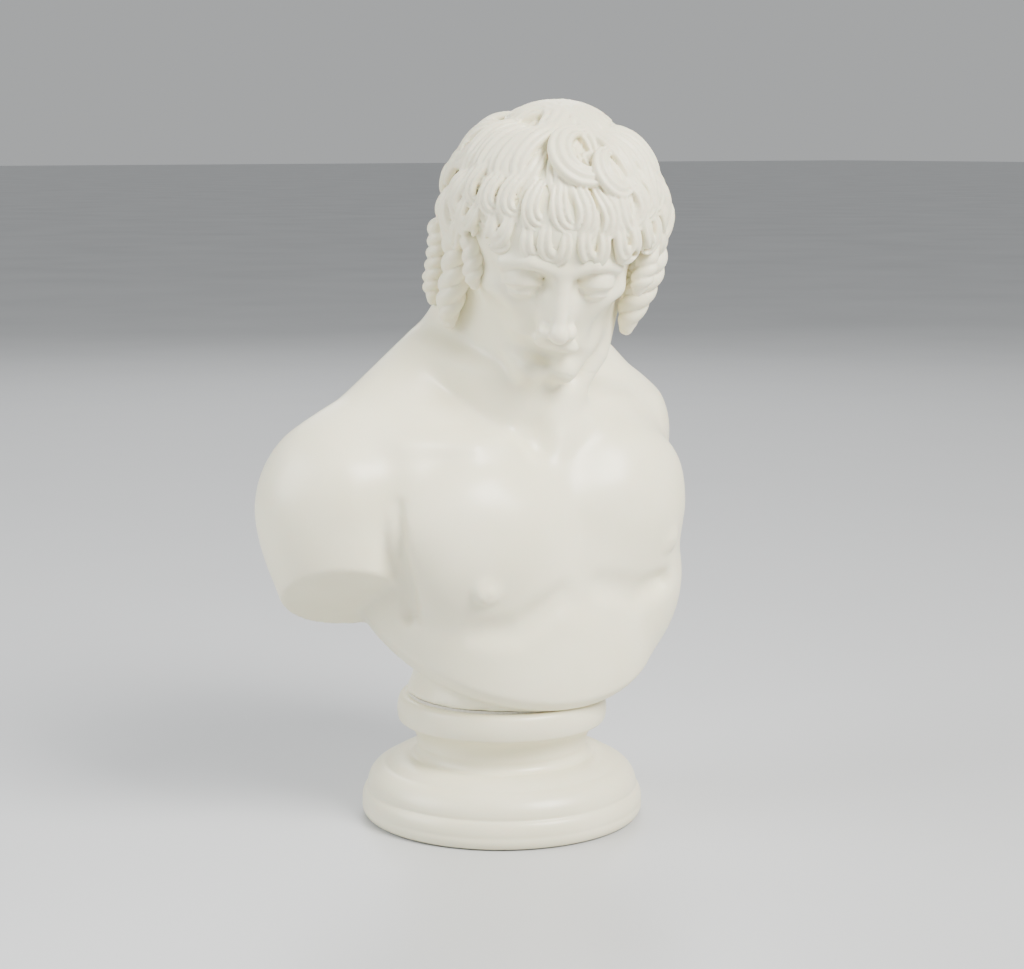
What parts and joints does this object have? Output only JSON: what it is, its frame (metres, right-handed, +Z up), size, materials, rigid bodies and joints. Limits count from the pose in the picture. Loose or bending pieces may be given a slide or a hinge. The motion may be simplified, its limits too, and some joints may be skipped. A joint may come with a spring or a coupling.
{
  "type": "marble bust",
  "caption": "Bust of a curly-haired youth with bowed head and bare chest, arms cut off, on a round turned socle; a free-standing ornament.",
  "frame": {"origin": "on the table under the middle of the round foot, at the underside of the felt", "axes": "+Z up, the chest faces -Y, the bust's own right arm is on -X"},
  "size_m": [0.2533, 0.1674, 0.3717],
  "materials": {
    "socle": "polished cast marble",
    "torso": "polished cast marble",
    "head": "polished cast marble, hair less polished",
    "dowel_steel": "ground",
    "bedding": "set filler",
    "sleeve_brass": "machined",
    "zinc_steel": "zinc plated",
    "felt": "pressed felt"
  },
  "bodies": {
    "root": {"socle": "socle", "torso": "torso", "head": "head", "neck_dowel": "dowel_steel", "bedding_ring": "bedding", "locating_pin": "dowel_steel", "anchor_sleeve": "sleeve_brass", "stud": "zinc_steel", "washer": "zinc_steel", "lock_washer": "zinc_steel", "nut": "zinc_steel", "base_felt": "felt"}
  },
  "joints": []
}
